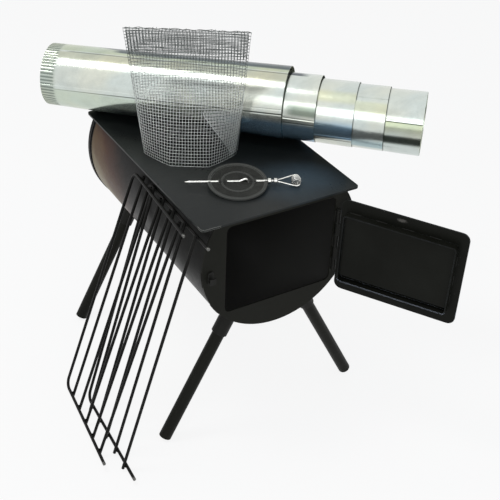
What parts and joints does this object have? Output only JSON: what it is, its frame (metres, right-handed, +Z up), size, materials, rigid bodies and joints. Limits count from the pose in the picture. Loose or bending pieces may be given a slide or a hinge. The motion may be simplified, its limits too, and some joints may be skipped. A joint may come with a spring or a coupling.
{
  "type": "tent wood stove",
  "caption": "Portable half-round tent stove on push-in pipe legs, its door open, with nested stovepipe, damper and spark arrestor set out on its cooking plate and shelves leaning beside it.",
  "frame": {"origin": "centre of the flue outlet, level with the upper face of the cooking plate", "axes": "+Z up out of the flue outlet; +Y from the door end to the rear; +X to the hinge side, on the right when facing the door"},
  "size_m": [0.7916, 0.8852, 0.7994],
  "materials": {
    "stove_steel": "satin",
    "plate_steel": "satin",
    "black_rod": "satin",
    "bright_steel": "polished",
    "galvanised": "satin",
    "wire_cloth": "satin",
    "cast_iron": "matte"
  },
  "bodies": {
    "stove": {"firebox_shell": "stove_steel", "top_plate": "plate_steel", "front_panel": "stove_steel", "rear_cap": "stove_steel", "flue_collar": "stove_steel", "leg_sockets": "stove_steel", "hinge_barrel_body": "stove_steel", "hinge_pin": "bright_steel", "latch_keeper": "stove_steel", "keeper_rivet": "bright_steel"},
    "leg_fl": {"leg_front_left": "black_rod"},
    "leg_fr": {"leg_front_right": "black_rod"},
    "leg_rl": {"leg_rear_left": "black_rod"},
    "leg_rr": {"leg_rear_right": "black_rod"},
    "door": {"door_skin": "stove_steel", "door_rim": "stove_steel", "door_baffle": "stove_steel", "hinge_barrel_door": "stove_steel", "air_guides": "stove_steel", "latch_bolt": "bright_steel"},
    "air_slide": {"air_strip": "stove_steel", "air_knob": "bright_steel"},
    "latch": {"latch_bar": "stove_steel", "latch_handle": "black_rod"},
    "pipe_1": {"pipe_section_1": "galvanised"},
    "pipe_2": {"pipe_section_2": "galvanised"},
    "pipe_3": {"pipe_section_3": "galvanised"},
    "pipe_4": {"pipe_section_4": "galvanised"},
    "pipe_5": {"pipe_section_5": "galvanised"},
    "damper": {"damper_disc": "cast_iron", "damper_rod": "bright_steel", "damper_collars": "bright_steel", "damper_coil_handle": "bright_steel"},
    "arrestor": {"spark_arrestor": "wire_cloth"},
    "shelf_inner": {"shelf_inner_frame": "black_rod", "shelf_inner_rods": "black_rod"},
    "shelf_outer": {"shelf_outer_frame": "black_rod", "shelf_outer_rods": "black_rod"}
  },
  "joints": [
    {"name": "leg_fl_pull", "type": "slide", "parent": "stove", "child": "leg_fl", "axis": [-0.4695, 0, -0.8829], "range_m": [0, 0.06]},
    {"name": "leg_fr_pull", "type": "slide", "parent": "stove", "child": "leg_fr", "axis": [0.4695, 0, -0.8829], "range_m": [0, 0.06]},
    {"name": "leg_rl_pull", "type": "slide", "parent": "stove", "child": "leg_rl", "axis": [-0.4695, 0, -0.8829], "range_m": [0, 0.06]},
    {"name": "leg_rr_pull", "type": "slide", "parent": "stove", "child": "leg_rr", "axis": [0.4695, 0, -0.8829], "range_m": [0, 0.06]},
    {"name": "door_hinge", "type": "hinge", "parent": "stove", "child": "door", "pos_m": [0.127, -0.4465, -0.1098], "axis": [0, 0, 1], "range_deg": [-122.2, 55]},
    {"name": "latch_turn", "type": "hinge", "parent": "door", "child": "latch", "pos_m": [0.25169, -0.64451, -0.1098], "axis": [-0.8462, -0.5329, 0], "range_deg": [-90, 0]},
    {"name": "air_slide_move", "type": "slide", "parent": "door", "child": "air_slide", "axis": [-0.5329, 0.8462, 0], "range_m": [0, 0.0275]},
    {"name": "pipes_lift", "type": "slide", "parent": "stove", "child": "pipe_1", "axis": [0, 0, 1], "range_m": [0, 0.3]},
    {"name": "pipe_2_pull", "type": "slide", "parent": "pipe_1", "child": "pipe_2", "axis": [0.7218, -0.6921, 0], "range_m": [-0.025, 0.465]},
    {"name": "pipe_3_pull", "type": "slide", "parent": "pipe_2", "child": "pipe_3", "axis": [0.7218, -0.6921, 0], "range_m": [-0.025, 0.465]},
    {"name": "pipe_4_pull", "type": "slide", "parent": "pipe_3", "child": "pipe_4", "axis": [0.7218, -0.6921, 0], "range_m": [-0.025, 0.465]},
    {"name": "pipe_5_pull", "type": "slide", "parent": "pipe_4", "child": "pipe_5", "axis": [0.7218, -0.6921, 0], "range_m": [-0.025, 0.465]},
    {"name": "damper_lift", "type": "slide", "parent": "stove", "child": "damper", "axis": [0, 0, 1], "range_m": [0, 0.3]},
    {"name": "arrestor_lift", "type": "slide", "parent": "stove", "child": "arrestor", "axis": [0, 0, 1], "range_m": [0, 0.3]},
    {"name": "shelf_inner_draw", "type": "slide", "parent": "stove", "child": "shelf_inner", "axis": [0, -1, 0], "range_m": [0, 0.3]},
    {"name": "shelf_outer_draw", "type": "slide", "parent": "stove", "child": "shelf_outer", "axis": [-1, 0, 0], "range_m": [0, 0.3]}
  ]
}
